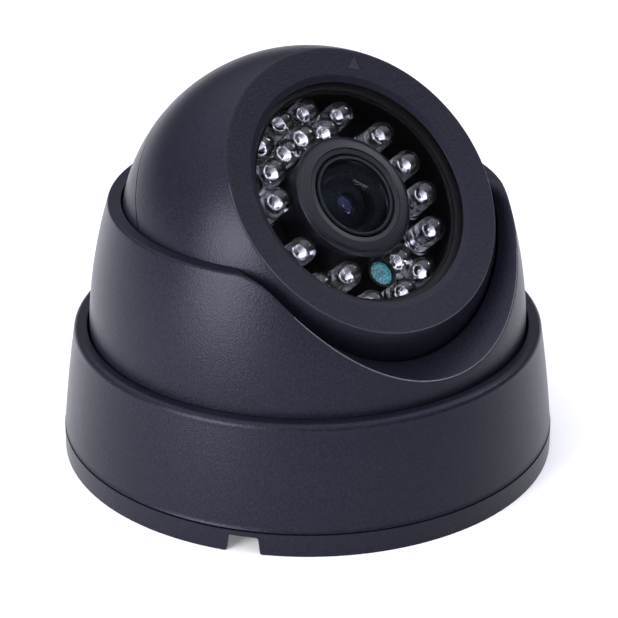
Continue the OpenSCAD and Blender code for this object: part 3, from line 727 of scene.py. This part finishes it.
def lamp(i):
    """One infrared lamp: its clear body, with a flange where the CAD node has one, and its lead frame."""
    name = f"ir_led_{i:02d}"
    low, high = local_box(name, OPTICAL)
    x, y = (low[0] + high[0]) / 2, (low[1] + high[1]) / 2
    foot, tip = low[2], high[2]
    flange_r, flange_t = (high[0] - low[0]) / 2, 1
    place = OPTICAL @ Matrix.Translation(Vector((x, y, 0)) * MM)
    if flange_r > LAMP_R + 0.01:
        body = [(0, foot), (flange_r, foot), (flange_r, foot + flange_t), (LAMP_R, foot + flange_t)]
        radii = [0, 0.1, 0.15, 0.1]
    else:
        body, radii = [(0, foot), (LAMP_R, foot)], [0, 0.1]
    outline = rounded(body + [(LAMP_R, tip - LAMP_R)], radii + [0], closed=False, n=3)
    dome = arc(0, tip - LAMP_R, LAMP_R, 0, 90, 16)[1:]
    skin = revolve(f"lamp_{i:02d}", outline + dome, place, steps=48, closed=False)
    settle(skin, "eyeball", "lamp_epoxy", EPOXY, name)
    # the real lamps are soldered in at any turn, and five turns stand for that here
    turn = Matrix.Rotation(math.radians(200 + 37 * (i % 5)), 4, "Z")
    lead_frame(f"lamp_frame_{i:02d}", place @ turn, foot, tip)


def finish_cad_pieces():
    """Pieces whose CAD shape is right keep it and take their finish."""
    finishes = (
        (SHELL, "base_plate", "ball_rear_shell"),
        (RUBBER, "pan_friction_ring", "cable_grommet", "window_seal"),
        (STEEL, "tilt_bracket", "pivot_pins", "friction_washers", "hub_clip"),
        (STEEL, "ball_screws", "holder_screws"),
        (DARK_STEEL, "board_screws"),
        (BRASS, "board_standoffs"),
        (BLACK, "photocell_sleeve", "lens_holder", "pin_header"),
        (CONNECTOR, "power_connector"),
        (BOARD, "led_board", "sensor_board"),
        (CHIP, "image_sensor", "processor_chip"),
        (CELL, "photocell"),
        (FILTER, "ir_cut_filter"),
        (LENS, "rear_lens"),
    )
    for material, *names in finishes:
        for name in names:
            data = frame["nodes"][name].data
            data.materials.clear()
            data.materials.append(material)


# ---- stage ----

def camera():
    """A long lens left of the front, above the object and looking down at it, a hair off its axis."""
    data = bpy.data.cameras.new("camera")
    data.lens = 147.7
    data.sensor_width = 36
    data.clip_start = 0.01
    obj = bpy.data.objects.new("camera", data)
    bpy.context.scene.collection.objects.link(obj)
    azimuth = math.radians(-40.5)
    aim = math.radians(-40.5306)
    distance, height, pitch = 0.43188, 0.23381, math.radians(25.664)
    obj.location = (distance * math.sin(azimuth), -distance * math.cos(azimuth), height)
    obj.rotation_euler = (math.pi / 2 - pitch, 0, aim)
    bpy.context.scene.camera = obj


def area_light(name, azimuth, elevation, distance, size, radiance):
    """A soft box that looks at the object's middle from that direction, in degrees and metres."""
    a, e = math.radians(azimuth), math.radians(elevation)
    target = Vector((0, 0, 0.04))
    place = target + distance * Vector((math.sin(a) * math.cos(e), -math.cos(a) * math.cos(e), math.sin(e)))
    data = bpy.data.lights.new(name, "AREA")
    data.shape = "RECTANGLE"
    data.size, data.size_y = size
    data.energy = radiance * math.pi * size[0] * size[1]
    obj = bpy.data.objects.new(name, data)
    obj.location = place
    obj.rotation_euler = (target - place).to_track_quat("-Z", "Y").to_euler()
    bpy.context.scene.collection.objects.link(obj)


def studio_dome():
    """World light: a pale dome overhead that dims towards the horizon."""
    world = bpy.data.worlds.new("studio")
    world.use_nodes = True
    nodes, links = world.node_tree.nodes, world.node_tree.links
    sky = nodes["Background"]
    sky.inputs["Color"].default_value = (0.97, 0.97, 1.1, 1)
    coords = nodes.new("ShaderNodeTexCoord")
    split = nodes.new("ShaderNodeSeparateXYZ")
    span = nodes.new("ShaderNodeMapRange")
    span.interpolation_type = "SMOOTHSTEP"
    span.inputs["From Min"].default_value = 0.25
    span.inputs["From Max"].default_value = 1.0
    span.inputs["To Min"].default_value = 0.13
    span.inputs["To Max"].default_value = 2.0
    links.new(coords.outputs["Generated"], split.inputs["Vector"])
    links.new(split.outputs["Z"], span.inputs["Value"])
    links.new(span.outputs["Result"], sky.inputs["Strength"])
    bpy.context.scene.world = world


def stage():
    """White floor, pale dome, and two soft boxes: one for the shells' left side, one for the lens."""
    half = 3000
    corners = [(-half, -half, 0), (half, -half, 0), (half, half, 0), (-half, half, 0)]
    floor = make("floor", corners, [(0, 1, 2, 3)])
    mat, nodes, links, shader = new_material("floor_white", (0.8, 0.8, 0.8), 0.8)
    shader.inputs["Emission Color"].default_value = (1, 1, 1, 1)
    shader.inputs["Emission Strength"].default_value = 0.18
    grain(nodes, links, shader, 0.01, 0.0001, 0.05)
    floor.data.materials.append(mat)
    studio_dome()
    bpy.context.scene.view_settings.view_transform = "Standard"
    area_light("left_box", azimuth=-85, elevation=14, distance=0.75, size=(0.4, 0.45), radiance=15)
    area_light("lens_box", azimuth=70, elevation=38, distance=0.9, size=(0.1, 0.22), radiance=14)


base_cover()
turret_collar()
ball_front_shell()
up_mark()
front_window()
window_retainer()
lens_shroud()
lens_tube()
lens_elements()
for index in range(1, LAMPS + 1):
    lamp(index)
finish_cad_pieces()
camera()
stage()
